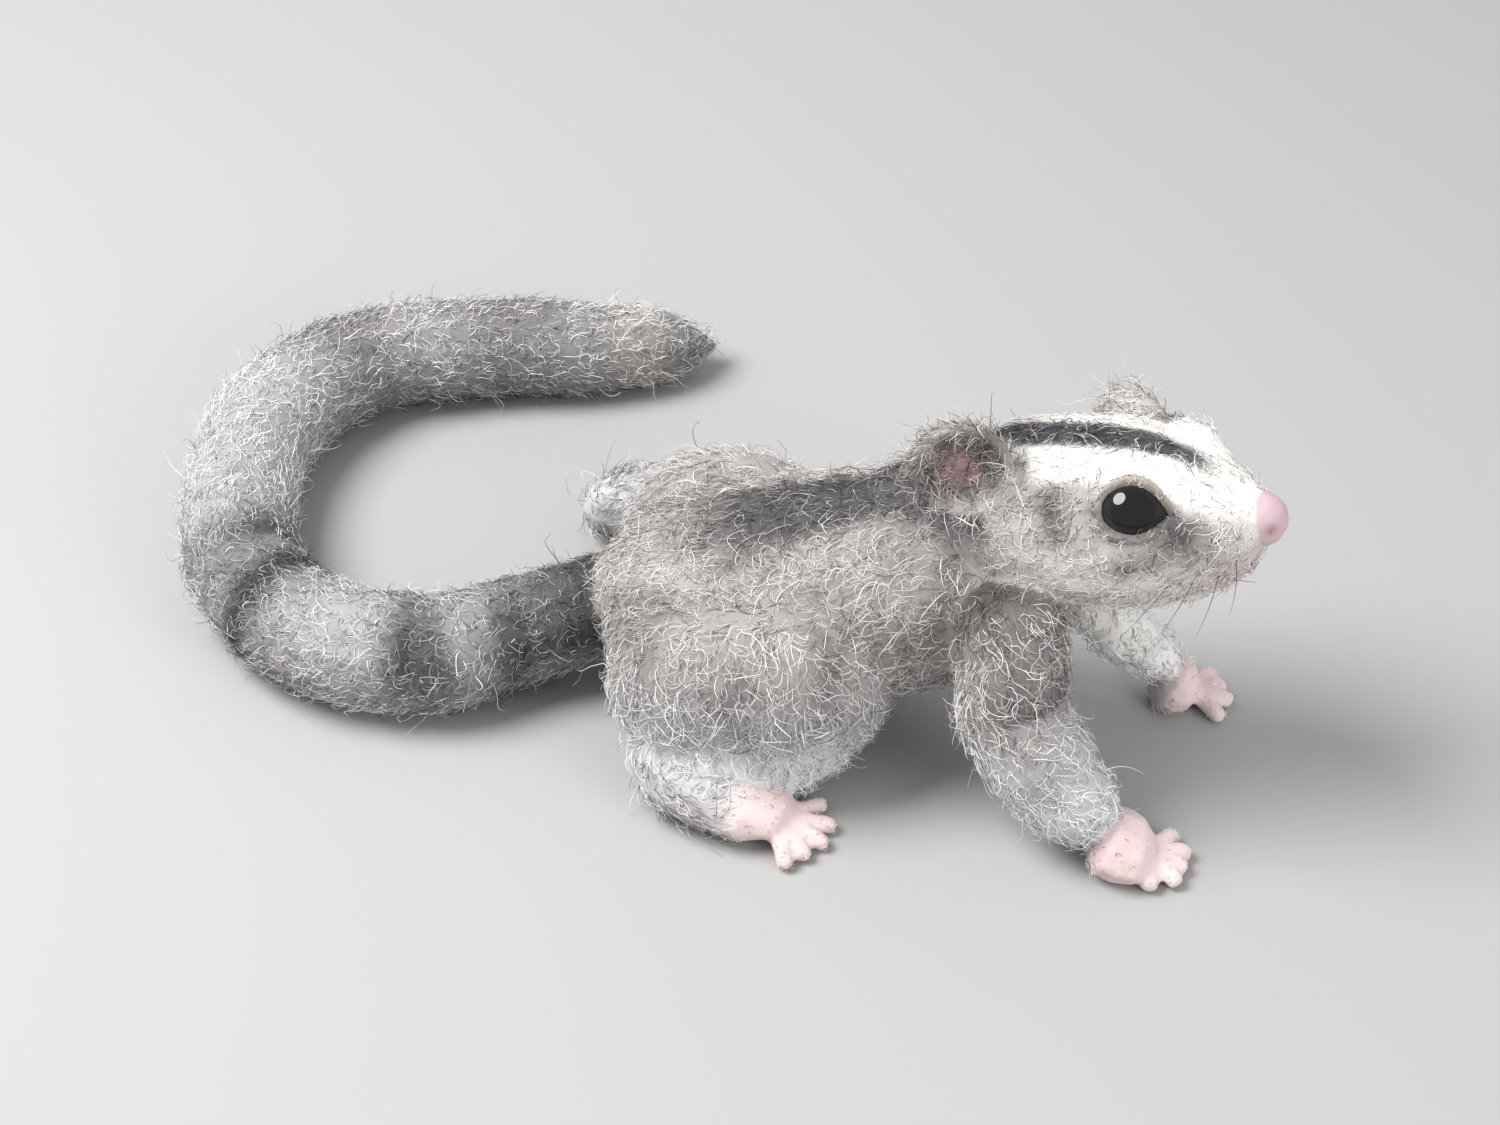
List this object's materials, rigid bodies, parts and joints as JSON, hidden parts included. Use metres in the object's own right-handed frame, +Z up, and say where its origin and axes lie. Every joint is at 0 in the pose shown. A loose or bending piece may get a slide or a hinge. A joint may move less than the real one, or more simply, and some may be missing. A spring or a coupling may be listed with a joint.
{
  "type": "needle-felted sugar glider figure",
  "caption": "Small felted wool figure of a sugar glider crouched on all fours, with glass eyes, a grey striped coat and a long curled tail.",
  "frame": {"origin": "middle of the figure's outline, on the surface it rests on", "axes": "+X along the picture's left-to-right direction, towards the head; +Y to the animal's left; +Z up"},
  "size_m": [0.1188, 0.0936, 0.0449],
  "materials": {
    "grey_wool": "matte felted wool, curly fibres",
    "pink_wool": "matte felted wool, closely needled",
    "glass_eye": "polished black-brown glass eye",
    "thread": "dark thread whiskers"
  },
  "bodies": {
    "root": {"head": "grey_wool", "ear_right": "grey_wool", "ear_left": "grey_wool", "neck": "grey_wool", "trunk": "grey_wool", "eye_right": "glass_eye", "eye_left": "glass_eye", "nose": "pink_wool", "thigh_right": "grey_wool", "shank_right": "grey_wool", "hindfoot_right": "pink_wool", "upper_arm_right": "grey_wool", "forearm_right": "grey_wool", "forepaw_right": "pink_wool", "thigh_left": "grey_wool", "shank_left": "grey_wool", "hindfoot_left": "pink_wool", "upper_arm_left": "grey_wool", "forearm_left": "grey_wool", "forepaw_left": "pink_wool", "tail_root": "grey_wool", "tail_inner": "grey_wool", "tail_turn": "grey_wool", "tail_bend": "grey_wool", "tail_outer": "grey_wool", "tail_far": "grey_wool", "tail_tip": "grey_wool"}
  },
  "joints": []
}
